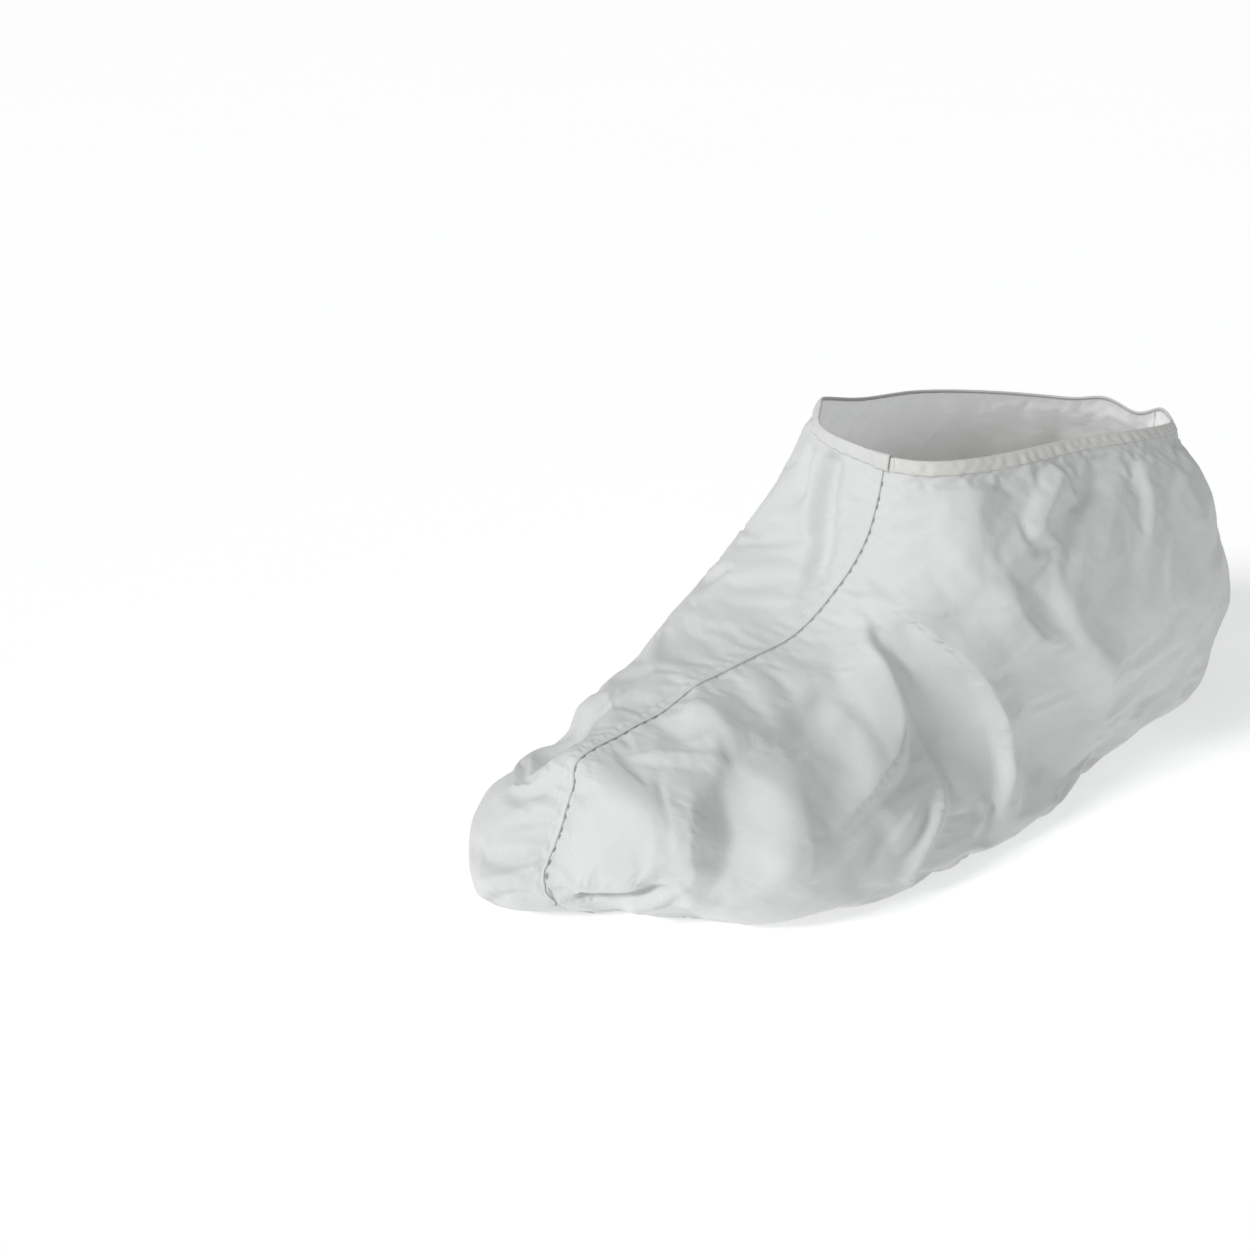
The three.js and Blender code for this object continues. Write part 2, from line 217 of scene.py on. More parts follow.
# the tape is a little warmer on the wearer's left, from the lap to the heel
def tapePaint(name, warm, plain, roughness):
    paint = Paint(name)
    solid = paint.place((1, 1, 1))
    weave = paint.noise(paint.place(tapeLook["weave"], onCloth=True), detail=2)
    ribs = paint.node("ShaderNodeTexWave", dict(wave_type="BANDS", bands_direction="Y"),
                      {"Vector": paint.place((1, 1, 1), onCloth=True), "Scale": tapeLook["ribs"],
                       "Distortion": 1.5, "Detail": 2})
    side = paint.node("ShaderNodeSeparateXYZ", None, {"Vector": solid}, output=1).step(*tapeLook["warmTo"])
    color = paint.mix(side, (*warm, 1), (*plain, 1))
    stained = paint.noise(solid, scale=60, detail=3).step(0.35, 0.7) * tapeLook["stainShare"]
    color = paint.mix(stained, color, (*tapeLook["stain"], 1))
    normal = paint.bump(ribs * 0.5 + weave * 0.5, tapeLook["depth"], 0.5)
    return paint.finish(**{
        "Base Color": color, "Roughness": roughness + (weave - 0.5) * tapeLook["swing"],
        "Specular IOR Level": tapeLook["gloss"], "Sheen Weight": tapeLook["sheen"], "Normal": normal})


threadLook = dict(twist=2600, paleFrom=(-0.118, -0.096), paleTo=(-0.062, -0.02), depth=0.0001,
                  gloss=0.25, swing=0.1)


# the stitches are thread with painted shade: dark at both ends of the seam, as painted shadow pockets where
# the thread pulls the cloth, and pale along the middle of the instep
def threadPaint(name, dark, pale, roughness):
    paint = Paint(name)
    twist = paint.noise(paint.place((threadLook["twist"],) * 3), detail=2)
    x = paint.node("ShaderNodeSeparateXYZ", None, {"Vector": paint.place((1, 1, 1))})
    instep = x.step(*threadLook["paleFrom"]) * (1 - x.step(*threadLook["paleTo"]))
    # the dark tone is painted shade for the pockets where the thread pulls the cloth
    tone = paint.mix(instep, (*dark, 1), (*pale, 1))
    normal = paint.bump(twist, threadLook["depth"], 0.5)
    return paint.finish(**{
        "Base Color": tone, "Roughness": roughness + (twist - 0.5) * threadLook["swing"],
        "Specular IOR Level": threadLook["gloss"], "Normal": normal})


clothFinish = clothPaint("nonwovenCloth", (0.69, 0.70, 0.695), (0.66, 0.67, 0.665), 0.6)
# the inner face is a lighter copy of the cloth as painted light, and it glows with painted light that is
# darker towards the bottom as painted shade
insidePaintedLightFinish = clothPaint("nonwovenInsidePaintedLight", (0.84, 0.845, 0.84), (0.82, 0.825, 0.82), 0.7,
                          glow=0.23, dim=0.10, lit=0.15)
bindingFinish = tapePaint("bindingTape", (0.70, 0.69, 0.665), (0.68, 0.69, 0.685), 0.7)
# the seam thread's dark tone is painted shade
threadPaintedShadeFinish = threadPaint("seamThreadPaintedShade", (0.34, 0.34, 0.335), (0.60, 0.60, 0.595), 0.8)


room = dict(sky=(0.97, 0.99, 1.0), skyStrength=0.285, floorSize=40.0, floorCells=8, floorGlow=0.36,
            floorColor=(0.93, 0.93, 0.93), floorVariation=1.01, floorRoughness=0.7, floorGloss=0.2)


def floorPaint():
    paint = Paint("studioFloor")
    cloudy = paint.noise(paint.place((3, 3, 3)), detail=2)
    paler = [c * room["floorVariation"] for c in room["floorColor"]]
    color = paint.mix(cloudy, (*room["floorColor"], 1), (*paler, 1))
    return paint.finish(**{
        "Base Color": color, "Roughness": room["floorRoughness"], "Specular IOR Level": room["floorGloss"],
        "Emission Color": (1, 1, 1, 1), "Emission Strength": room["floorGlow"]})


def buildRoom(room):
    cells = room["floorCells"]
    bpy.ops.mesh.primitive_grid_add(x_subdivisions=cells, y_subdivisions=cells, size=room["floorSize"])
    floor = bpy.context.object
    floor.name = "studioFloor"
    floor.data.materials.append(floorPaint())
    world = bpy.data.worlds.new("studioSky")
    world.use_nodes = True
    world.node_tree.nodes["Background"].inputs["Color"].default_value = (*room["sky"], 1)
    world.node_tree.nodes["Background"].inputs["Strength"].default_value = room["skyStrength"]
    scene.world = world


bpy.ops.object.select_all(action="DESELECT")
buildRoom(room)
print("camera, lamps and floor placed")


# The cover, in millimetres. u runs from the ankle opening (0) to the toe (1); v runs round from the
# instep seam (0) over the wearer's left side to the sole (pi) and back over the right side.
cover = dict(
    origin=(-12.23, -1.05, 0.0),  # from the pattern's own zero to the frame's
    rows=280, columns=156,  # cells along, and round each side
    cloth=0.5, parting=0.12, partingMost=0.3,
    tipTight=0.12, tipRows=7, tipCurve=0.7,  # how the last rows draw together under the toe
    rimRise=5.0, rimRiseAlong=0.114, rimRiseAt=1.7, middleDrift=1.5,
    heelSeam=0.7, heelSeamWide=1.2, floorGap=0.02,
    stillRows=3, rimFade=5, toeFade=16, soleFade=14.0,  # where the folds die out
    samples=260,  # round each half ring, when its stations are spaced out
)

ringNames = ("topX", "topY", "topZ", "soleX", "soleY", "soleZ",
             "midY", "left", "right", "belly", "leftN", "rightN", "soleN")
rings = np.array([
    (-12, -20, 164, 160, -15, 146, 0, 42, 54, 0.50, 2.0, 4.4, 1.8),
    (-13, -19, 147, 178, -11, 124, 0, 52, 64, 0.50, 2.1, 4.2, 2.1),
    (-16, -17, 130, 193, -6, 97, 0, 59, 71, 0.50, 2.2, 3.9, 2.3),
    (-26, -14, 112, 203, -3, 66, 0, 62, 75, 0.49, 2.2, 3.4, 2.5),
    (-44, -11, 97, 199, 0, 35, 0, 60, 77, 0.46, 2.2, 3.4, 2.4),
    (-66, -9, 90, 176, 0, 9, 0, 58, 77, 0.42, 2.2, 3.2, 2.3),
    (-86, -7, 85, 128, 0, -3, 0, 58, 75, 0.38, 2.2, 2.9, 2.5),
    (-104, -5, 79, 68, 0, -6, 0, 69, 71, 0.37, 2.2, 2.6, 3.4),
    (-120, -4, 75, 10, 0, -6, 0, 74, 65, 0.37, 2.2, 2.4, 3.6),
    (-134, -3, 71, -44, 0, -6, 0, 72, 60, 0.39, 2.2, 2.3, 3.4),
    (-145, -3, 68, -90, -2, -5, 0, 61, 55, 0.42, 2.2, 2.2, 2.9),
    (-151, -4, 61, -114, -3, -4, -1, 41, 51, 0.46, 2.1, 2.2, 2.4),
    (-155, -5, 46, -128, -4, -3, -3, 26, 49, 0.50, 2.0, 2.2, 2.4),
    (-155, -7, 27, -136, -6, -2, -6, 12, 40, 0.52, 2.0, 2.4, 2.4),
    (-144, -9, 7, -138, -8, 1, -8, 3.5, 7, 0.60, 2.0, 2.0, 2.0),
], float)

# soft swellings: centre, radius, shift at the centre
swells = [
    dict(at=(-158, 20, 17), radius=27, move=(-23, 1, -6)),
    dict(at=(-146, -34, 34), radius=26, move=(-4, -3, 0)),
    dict(at=(0, 46, 112), radius=42, move=(-8, 4, 2)),
    dict(at=(-30, 50, 92), radius=34, move=(-6, 3, 3)),
    dict(at=(12, 46, 166), radius=22, move=(-2, 3, 5)),
    dict(at=(-162, 10, 8), radius=20, move=(-14, -4, -2)),
    dict(at=(-98, -64, 34), radius=24, move=(0, -4, 0)),
    dict(at=(-144, 26, 62), radius=14, move=(0, -2, -5)),
    dict(at=(-130, 33, 65), radius=14, move=(4, -4, -8)),
    dict(at=(2, 38, 168), radius=13, move=(4, -2, 2)),
    dict(at=(150, 9, 149), radius=9, move=(0, 0, 2.6)),
    dict(at=(157, -5, 148), radius=8, move=(0, 0, -2)),
    dict(at=(159, -19, 149), radius=8, move=(0, 1, 3)),
    dict(at=(168, -22, 127), radius=19, move=(-7, 4, 0)),
    dict(at=(178, -40, 98), radius=22, move=(-2.6, 1.8, 0)),
    dict(at=(162, -43, 26), radius=20, move=(3, -5, -4)),
    dict(at=(-158, 39, 34), radius=16, move=(-3, 4, 3)),
    dict(at=(-118, 45, 54), radius=11, move=(2, -4, -4.5)),
    dict(at=(-164, 2, 6), radius=13, move=(-2.5, -7, -4)),
    dict(at=(-136, -16, 1), radius=13, move=(0, 4, 3)),
]


def smooth(t):
    k = np.clip(t, 0, 1)
    return k * k * (3 - 2 * k)


# values on a smooth curve through the rows of a table, at t counted in rows
def smoothRows(table, t):
    i = np.minimum(np.floor(t).astype(int), len(table) - 2)
    f = (t - i).reshape(t.shape + (1,) * (table.ndim - 1))
    wide = np.concatenate([2 * table[:1] - table[1:2], table, 2 * table[-1:] - table[-2:-1]])
    a, b, c, d = (wide[i + k] for k in range(4))
    return 0.5 * (2 * b + (c - a) * f + (2 * a - 5 * b + 4 * c - d) * f ** 2
                  + (3 * b - a - 3 * c + d) * f ** 3)


# the running sum along the last axis, from 0
def runningSum(steps):
    return np.concatenate([np.zeros((*steps.shape[:-1], 1)), np.cumsum(steps, -1)], -1)


# how far along a line each of its points is
def lengthAlong(points):
    return runningSum(np.linalg.norm(np.diff(points, axis=0), axis=-1))


# the point or the direction at a given length along a line
def valueAt(at, far, values):
    return np.array([np.interp(at, far, values[:, k]) for k in range(3)])


def unit(v):
    return v / np.linalg.norm(v)


def ringsAt(u):
    values = smoothRows(rings, np.clip(u, 0, 1) * (len(rings) - 1))
    return {name: values[..., k] for k, name in enumerate(ringNames)}


def skin(u, v):
    r = ringsAt(u)
    c, s = np.cos(v), np.sin(v)
    onLeft = v <= math.pi
    n = np.where(c < 0, r["soleN"], np.where(onLeft, r["leftN"], r["rightN"]))
    up = np.sign(c) * np.abs(c) ** (2 / n)
    out = np.abs(s) ** (2 / n)
    h = np.where(c >= 0, r["belly"] + (1 - r["belly"]) * up, r["belly"] * (1 + up))
    side = np.where(onLeft, -r["left"], r["right"])
    toTop = np.maximum(up, 0) ** cover["middleDrift"]
    toSole = np.maximum(-up, 0) ** cover["middleDrift"]
    p = np.stack([
        r["soleX"] + (r["topX"] - r["soleX"]) * h,
        r["midY"] + side * out + (r["topY"] - r["midY"]) * toTop + (r["soleY"] - r["midY"]) * toSole,
        r["soleZ"] + (r["topZ"] - r["soleZ"]) * h,
    ], -1)
    p[..., 2] += cover["rimRise"] * np.exp(-(u / cover["rimRiseAlong"]) ** 2 - (v - cover["rimRiseAt"]) ** 2)
    at = p.copy()
    for w in swells:
        k = np.exp(-((at - np.array(w["at"])) ** 2).sum(-1) / w["radius"] ** 2)
        p += k[..., None] * np.array(w["move"], float)
    return p


# the v of evenly spaced stations over half a ring, for every ring in u
def evenRound(u, start, columns):
    quarter = 0.25 * math.pi * (1 - np.cos(np.linspace(0, math.pi, cover["samples"])))
    dense = start + np.concatenate([quarter, math.pi / 2 + quarter[1:]])
    dense = np.clip(dense, start + 1e-7, start + math.pi)
    points = skin(u[:, None] + 0 * dense[None], dense[None] + 0 * u[:, None])
    far = runningSum(np.linalg.norm(np.diff(points, axis=1), axis=-1))
    share = np.linspace(0, 1, columns + 1)
    return np.stack([np.interp(share * row[-1], row, dense) for row in far])


def normalsOf(grid):
    along = np.gradient(grid, axis=0)
    wide = np.concatenate([grid[:, -2:-1], grid, grid[:, 1:2]], 1)
    around = wide[:, 2:] - wide[:, :-2]
    n = np.cross(along, around)
    return n / np.maximum(np.linalg.norm(n, axis=-1, keepdims=True), 1e-9)


# Each fold is a line on the cloth, as points from the pattern's zero. wide is how far it spreads to the
# toe side and to the heel side of a line that runs down the left side; high is its height, negative
# for a valley; sharp is 0 for a soft roll and 1 for a crease; ends is how much of its length it takes
# to rise at each end.
folds = {
    "mainRidge": dict(path=[(-25, -34, 112), (-17, -49, 104), (1, -58, 87), (13, -60, 70), (23, -59, 49),
        (25, -60, 34), (18, -66, 23), (9, -71, 12)], wide=(5, 15), high=5.0, sharp=0.82, ends=(0.14, 0.3)),
    "mainSwell": dict(path=[(-20, -40, 109), (0, -56, 88), (17, -60, 63), (20, -62, 36)],
        wide=(8, 50), high=2.2, sharp=0.1),
    "mainInner": dict(path=[(-21, -42, 106), (-12, -52, 94), (0, -57, 79), (7, -60, 65), (11, -61, 52)],
        wide=(3.6, 3.6), high=1.5, sharp=0.75, ends=(0.2, 0.5)),
    "mainValley": dict(path=[(-28, -34, 104), (-27, -38, 97), (-24, -43, 87), (-21, -48, 76),
        (-16, -51, 66), (-12, -56, 50), (-10, -64, 36), (-14, -70, 22)],
        wide=(4, 6), high=-3.0, sharp=0.9, ends=(0.15, 0.4)),
    "lobeCrest": dict(path=[(-30, -31, 104), (-30, -39, 94), (-28, -46, 80), (-28, -51, 68),
        (-34, -58, 60), (-48, -66, 56), (-64, -71, 50), (-86, -73, 44)],
        wide=(18, 8), high=7.0, sharp=0.9, ends=(0.2, 0.4)),
    "dimple": dict(path=[(-69, -33, 82), (-67, -41, 76), (-65, -49, 68), (-66, -59, 59)],
        wide=(20, 11), high=-2.9, sharp=0.2, ends=(0.45, 0.45)),
    "dimpleEdge": dict(path=[(-57, -36, 81), (-50, -43, 75), (-46, -49, 68), (-49, -60, 60), (-58, -66, 52)],
        wide=(9, 6), high=2.2, sharp=0.9),
    "lowBay": dict(path=[(-44, -70, 42), (-60, -73, 34), (-78, -72, 24)],
        wide=(12, 12), high=-2.4, sharp=0.3),
    "hollow": dict(path=[(-110, -40, 70), (-111, -50, 64), (-114, -59, 54), (-118, -62, 45),
        (-120, -60, 36), (-124, -52, 25)], wide=(13, 16), high=-5.4, sharp=0.7, ends=(0.3, 0.35)),
    "hollowRim": dict(path=[(-104, -43, 70), (-94, -54, 63), (-92, -63, 56), (-95, -69, 48),
        (-101, -71, 38), (-110, -67, 30)], wide=(10, 15), high=2.4, sharp=0.5),
    "hollowLip": dict(path=[(-119, -44, 65), (-125, -47, 59), (-129, -51, 52), (-129, -54, 42),
        (-127, -52, 32)], wide=(8, 5), high=1.6, sharp=0.8),
    "toeValley": dict(path=[(-125, -28, 69), (-131, -38, 60), (-133, -45, 53), (-133, -49, 46)],
        wide=(6, 4), high=-1.8, sharp=0.8),
    "toeGlint": dict(path=[(-118, -42, 65), (-126, -43, 61), (-133, -42, 56)],
        wide=(2.5, 3), high=1.0, sharp=0.9),
    "tuckCrease": dict(path=[(-156, -15, 14), (-148, -23, 16), (-141, -32, 20), (-135, -40, 26),
        (-127, -50, 34)], wide=(3, 6), high=-5.0, sharp=0.85, ends=(0.1, 0.3)),
    "tuckRoll": dict(path=[(-150, -24, 8), (-140, -37, 13), (-130, -49, 20), (-118, -60, 26)],
        wide=(8, 7), high=4.0, sharp=0.3),
    "patchFlank": dict(path=[(-112, -8, 77), (-99, -20, 79), (-98, -31, 75), (-101, -41, 71)],
        wide=(15, 15), high=6.0, sharp=0.7),
    "patchFoot": dict(path=[(-134, -13, 71), (-125, -23, 71), (-117, -31, 71), (-108, -38, 70),
        (-101, -42, 70)], wide=(4, 10), high=2.6, sharp=0.8),
    "patchShade": dict(path=[(-90, -8, 83), (-90, -20, 80), (-91, -33, 75), (-88, -42, 70)],
        wide=(7, 9), high=-0.8, sharp=0.5),
    "vampRidge": dict(path=[(-76, -10, 89), (-74, -22, 84), (-76, -34, 78)],
        wide=(7, 8), high=1.2, sharp=0.6),
    "vampDip": dict(path=[(-68, -8, 91), (-64, -22, 86), (-66, -34, 79)], wide=(5, 6), high=-0.8, sharp=0.5),
    "rimRidgeA": dict(path=[(14, -44, 157), (10, -50, 147), (6, -51, 134), (-1, -50, 127), (-9, -45, 120)],
        wide=(15, 18), high=2.8, sharp=0.75, ends=(0.12, 0.4)),
    "rimValleyA": dict(path=[(24, -47, 155), (18, -51, 144), (12, -53, 130), (4, -52, 122)],
        wide=(8, 12), high=-0.5, sharp=0.4, ends=(0.12, 0.3)),
    "rimRidgeB": dict(path=[(59, -47, 154), (46, -54, 144), (39, -57, 138), (32, -59, 130)],
        wide=(7, 15), high=3.6, sharp=0.85, ends=(0.12, 0.25)),
    "rimTailB": dict(path=[(36, -58, 131), (25, -58, 127), (18, -56, 124), (8, -53, 126)],
        wide=(7, 5), high=1.5, sharp=0.8, ends=(0.2, 0.5)),
    "rimRidgeC": dict(path=[(82, -51, 146), (85, -54, 135), (80, -58, 124), (70, -60, 112)],
        wide=(14, 9), high=1.2, sharp=0.6),
    "rimValleyD": dict(path=[(66, -53, 146), (58, -58, 132), (53, -61, 116)],
        wide=(8, 8), high=-0.6, sharp=0.5),
    "rimRidgeE": dict(path=[(129, -49, 138), (138, -53, 120), (156, -55, 90)],
        wide=(14, 10), high=2.2, sharp=0.6),
    "rimRidgeF": dict(path=[(104, -47, 148), (108, -54, 132), (104, -59, 112)],
        wide=(6, 8), high=1.6, sharp=0.5),
    "curvedCrest": dict(path=[(16, -55, 123), (23, -57, 110), (31, -57, 99), (43, -59, 89), (63, -61, 79)],
        wide=(22, 6), high=2.8, sharp=0.95, ends=(0.25, 0.4)),
    "curvedFoot": dict(path=[(26, -58, 122), (34, -59, 110), (42, -60, 99), (54, -61, 90)],
        wide=(8, 10), high=-1.3, sharp=0.5),
    "heelBump": dict(path=[(42, -60, 114), (49, -61, 104), (55, -61, 96), (63, -61, 84), (80, -62, 69),
        (87, -63, 58), (90, -61, 44), (92, -60, 32)], wide=(15, 10), high=3.4, sharp=0.7, ends=(0.2, 0.3)),
    "heelPlate": dict(path=[(56, -60, 76), (74, -62, 69), (84, -63, 60), (88, -62, 46)],
        wide=(12, 7), high=2.2, sharp=0.5),
    "starCrease": dict(path=[(-22, -40, 111), (-15, -46, 109), (-5, -52, 107), (10, -55, 105),
        (24, -57, 108)], wide=(13, 4.5), high=-2.9, sharp=0.9, ends=(0.3, 0.5)),
    "lowRidge": dict(path=[(-15, -60, 44), (-20, -66, 36), (-29, -74, 27), (-36, -75, 19), (-42, -76, 10)],
        wide=(4, 9), high=4.0, sharp=0.95, ends=(0.3, 0.1)),
    "lowCrease": dict(path=[(-24, -64, 42), (-39, -72, 37), (-49, -74, 31), (-62, -74, 20)],
        wide=(3, 9), high=1.8, sharp=0.8),
    "shortCrease": dict(path=[(10, -67, 31), (6, -68, 24), (0, -71, 16)], wide=(3, 5), high=1.6, sharp=0.8),
    "farStripeA": dict(path=[(-12, 11, 159), (-14, 10, 137), (-20, 5, 123), (-40, -3, 101)],
        wide=(5, 9), high=-5.4, sharp=0.8, ends=(0.1, 0.25)),
    "farStripeB": dict(path=[(-7, 31, 157), (-13, 26, 144), (-17, 21, 130)],
        wide=(4, 6), high=-3.0, sharp=0.7),
    "farRidge": dict(path=[(-10, 21, 158), (-15, 17, 138), (-24, 13, 120)], wide=(6, 5), high=2.2, sharp=0.6),
    "toeNotch": dict(path=[(-136, 6, 68), (-137, 18, 66), (-134, 32, 60), (-130, 44, 48)],
        wide=(9, 9), high=-4.0, sharp=0.6),
    "toeGroove": dict(path=[(-144, -4, 68), (-156, -5, 52), (-160, -7, 34), (-152, -9, 10)],
        wide=(9, 9), high=-3.6, sharp=0.4, ends=(0.2, 0.05)),
    "toeLobeA": dict(path=[(-150, 0, 58), (-158, 14, 50), (-158, 28, 44)], wide=(5, 5), high=-1.8, sharp=0.7),
    "toeLobeB": dict(path=[(-163, -4, 30), (-172, 8, 28), (-176, 20, 26)], wide=(5, 5), high=-2.2, sharp=0.7),
    "toeLobeC": dict(path=[(-162, -8, 16), (-172, 0, 16), (-178, 12, 13)], wide=(5, 5), high=-2.6, sharp=0.8),
    "rightLobe": dict(path=[(-24, 34, 112), (0, 60, 96), (20, 71, 76), (30, 73, 48), (30, 72, 20)],
        wide=(8, 22), high=4.6, sharp=0.8),
    "rightValley": dict(path=[(-36, 40, 98), (-18, 58, 82), (-10, 67, 64), (-8, 70, 26)],
        wide=(7, 12), high=-4.0, sharp=0.75),
    "rightBay": dict(path=[(-70, 52, 66), (-58, 62, 54), (-50, 68, 34)], wide=(16, 12), high=-3.6, sharp=0.4),
    "rightRimA": dict(path=[(58, 52, 152), (50, 62, 138), (40, 68, 120), (22, 70, 104)],
        wide=(6, 13), high=3.4, sharp=0.8),
    "rightRimB": dict(path=[(112, 46, 148), (108, 58, 130), (98, 68, 108)],
        wide=(7, 12), high=2.6, sharp=0.7),
    "rightRimC": dict(path=[(24, 50, 160), (16, 60, 142), (8, 66, 124)], wide=(6, 9), high=2.4, sharp=0.7),
    "rightCurve": dict(path=[(40, 70, 112), (58, 74, 96), (84, 76, 84)], wide=(14, 7), high=3.0, sharp=0.8),
    "rightLow": dict(path=[(60, 76, 66), (84, 76, 44), (92, 74, 22)], wide=(9, 14), high=3.4, sharp=0.7),
    "rightToe": dict(path=[(-100, 40, 66), (-92, 54, 48), (-84, 60, 24)],
        wide=(10, 14), high=-3.6, sharp=0.6),
    "rightVamp": dict(path=[(-118, 24, 71), (-110, 40, 60), (-108, 50, 40)],
        wide=(7, 10), high=2.4, sharp=0.7),
    "heelRight": dict(path=[(150, 40, 128), (170, 48, 100), (176, 50, 66)],
        wide=(12, 10), high=3.0, sharp=0.6),
    "heelLeft": dict(path=[(138, -40, 140), (156, -42, 116), (166, -44, 88)],
        wide=(10, 8), high=2.0, sharp=0.6),
    "heelWave": dict(path=[(198, 10, 90), (200, -20, 66), (178, -46, 44)],
        wide=(11, 11), high=3.0, sharp=0.5),
}

foldShape = dict(
    gain=1.2, pieces=5, ends=(0.3, 0.3),
    taper=0.5,  # how wide a fold stays at its ends
    crest=(0.04, 0.36), foot=(0.1, 0.5),  # rounding of the sharpest fold, and what the softest adds to it
    reach=3.2, reachFade=1.4,  # in widths
)


# how far one fold lifts each point of the cloth
def liftOf(points, normals, fold):
    spans = len(fold["path"]) - 1
    line = smoothRows(np.array(fold["path"], float), np.linspace(0, spans, foldShape["pieces"] * spans + 1))
    first, second = fold["wide"]
    reach = foldShape["reach"] * max(first, second)
    near = np.all((points > line.min(0) - reach) & (points < line.max(0) + reach), axis=-1)
    lift = np.zeros(points.shape[:-1])
    q, n = points[near], normals[near]
    if not len(q):
        return lift
    best = np.full(len(q), 1e9)
    along, aside = np.zeros(len(q)), np.zeros(len(q))
    for k in range(len(line) - 1):
        step = line[k + 1] - line[k]
        t = np.clip((q - line[k]) @ step / (step @ step), 0, 1)
        gap = q - line[k] - t[:, None] * step
        far = (gap ** 2).sum(1)
        closer = far < best
        sideways = np.cross(n, unit(step))
        best = np.where(closer, far, best)
        along = np.where(closer, (k + t) / (len(line) - 1), along)
        aside = np.where(closer, (gap * sideways).sum(1), aside)
    start, stop = fold.get("ends", foldShape["ends"])
    body = smooth(along / start) * smooth((1 - along) / stop)
    taper = foldShape["taper"]
    x = np.sqrt(best) / (np.where(aside > 0, second, first) * (taper + (1 - taper) * body))
    # a ridge with straight flanks, its crest and its foot rounded more the softer it is
    crest, foot = (foldShape[part][0] + foldShape[part][1] * (1 - fold["sharp"])
                   for part in ("crest", "foot"))
    flank = 1 + crest - np.sqrt(x * x + crest * crest)
    profile = (flank + np.sqrt(flank * flank + foot * foot)) / (1 + math.hypot(1, foot))
    fade = smooth((foldShape["reach"] - x) / foldShape["reachFade"])
    lift[near] = foldShape["gain"] * fold["high"] * body * profile * fade
    return lift


# smooth seeded noise from -1 to 1 with cells of the given size
def latticeNoise(points, size, seed):
    low = points.reshape(-1, 3).min(0) / size - 1
    count = np.ceil(points.reshape(-1, 3).max(0) / size - low).astype(int) + 2
    values = np.random.default_rng(seed).uniform(-1, 1, count)
    q = points / size - low
    i = np.floor(q).astype(int)
    f = q - i
    f = f * f * f * (f * (6 * f - 15) + 10)
    total = 0
    for dx in (0, 1):
        for dy in (0, 1):
            for dz in (0, 1):
                share = (np.where(dx, f[..., 0], 1 - f[..., 0]) * np.where(dy, f[..., 1], 1 - f[..., 1])
                         * np.where(dz, f[..., 2], 1 - f[..., 2]))
                total = total + share * values[i[..., 0] + dx, i[..., 1] + dy, i[..., 2] + dz]
    return total


crumple = dict(broad=0.8, broadSize=34, crease=0.6, creaseSize=26, creaseLevel=0.4, fine=0.1, fineSize=9,
               ease=0.9, seed=12)
rimGathers = dict(count=44, start=6.0, high=(0.1, 0.35), long=(4, 11), shorter=(0.5, 1), wide=(2.0, 3.6),
                  stray=0.35, lean=1.2, sharp=0.4, ends=(0.05, 0.6), seed=4)
seamGathers = dict(count=9, start=0.34, stop=0.62, high=(0.3, 0.7), long=(4, 11), wide=(2.2, 3.6),
                   sides=(1,), seed=9)
toeGathers = dict(count=18, start=0.74, stop=0.97, high=(0.3, 0.9), long=(7, 20), wide=(2.2, 3.4),
                  sides=(1, -1), seed=21)
besideSeam = dict(begin=0.8, stray=(0.1, 0.9), lean=0.3, sharp=0.45, ends=(0.06, 0.6))


# short seeded gathers under the band, along the instep seam and round the toe, as fold rows
def gatherFolds(grid):
    made = []
    rows, columns = grid.shape[0] - 1, grid.shape[1] - 1

    # the point of the cloth at row i and column j, either of which may be a fraction
    def onCloth(i, j):
        i, j = min(max(i, 0), rows), j % columns
        i0, j0 = int(i), int(j)
        i1, j1 = min(i0 + 1, rows), (j0 + 1) % columns
        a, b = i - i0, j - j0
        upper = (1 - b) * grid[i0, j0] + b * grid[i0, j1]
        lower = (1 - b) * grid[i1, j0] + b * grid[i1, j1]
        return tuple((1 - a) * upper + a * lower)

    def gather(path, k, settings, style):
        wide = rng.uniform(*settings["wide"])
        high = (1 if k % 2 else -1) * rng.uniform(*settings["high"])
        made.append(dict(path=path, wide=(wide, wide), high=high, sharp=style["sharp"], ends=style["ends"]))

    rng = np.random.default_rng(rimGathers["seed"])
    rowStep = np.linalg.norm(grid[1, ::8] - grid[0, ::8], axis=-1).mean()
    for k in range(rimGathers["count"]):
        j = (k + rng.uniform(-rimGathers["stray"], rimGathers["stray"])) * columns / rimGathers["count"]
        long = rng.uniform(*rimGathers["long"]) * rng.uniform(*rimGathers["shorter"]) / rowStep
        lean = rng.uniform(-rimGathers["lean"], rimGathers["lean"])
        top = rimGathers["start"]
        path = [onCloth(top + long * share, j + lean * share) for share in (0, 0.5, 1)]
        gather(path, k, rimGathers, rimGathers)
    for settings in (seamGathers, toeGathers):
        rng = np.random.default_rng(settings["seed"])
        for side in settings["sides"]:
            for k in range(settings["count"]):
                share = (k + rng.uniform(*besideSeam["stray"])) / settings["count"]
                i = rows * (settings["start"] + (settings["stop"] - settings["start"]) * share)
                columnStep = np.linalg.norm(grid[int(i), 1] - grid[int(i), 0])
                long = rng.uniform(*settings["long"]) / columnStep
                lean = rng.uniform(-1, 1) * besideSeam["lean"] * long
                begin = besideSeam["begin"] / columnStep
                path = [onCloth(i + lean * part, side * (begin + long * part)) for part in (0, 0.5, 1)]
                gather(path, k, settings, besideSeam)
    return made


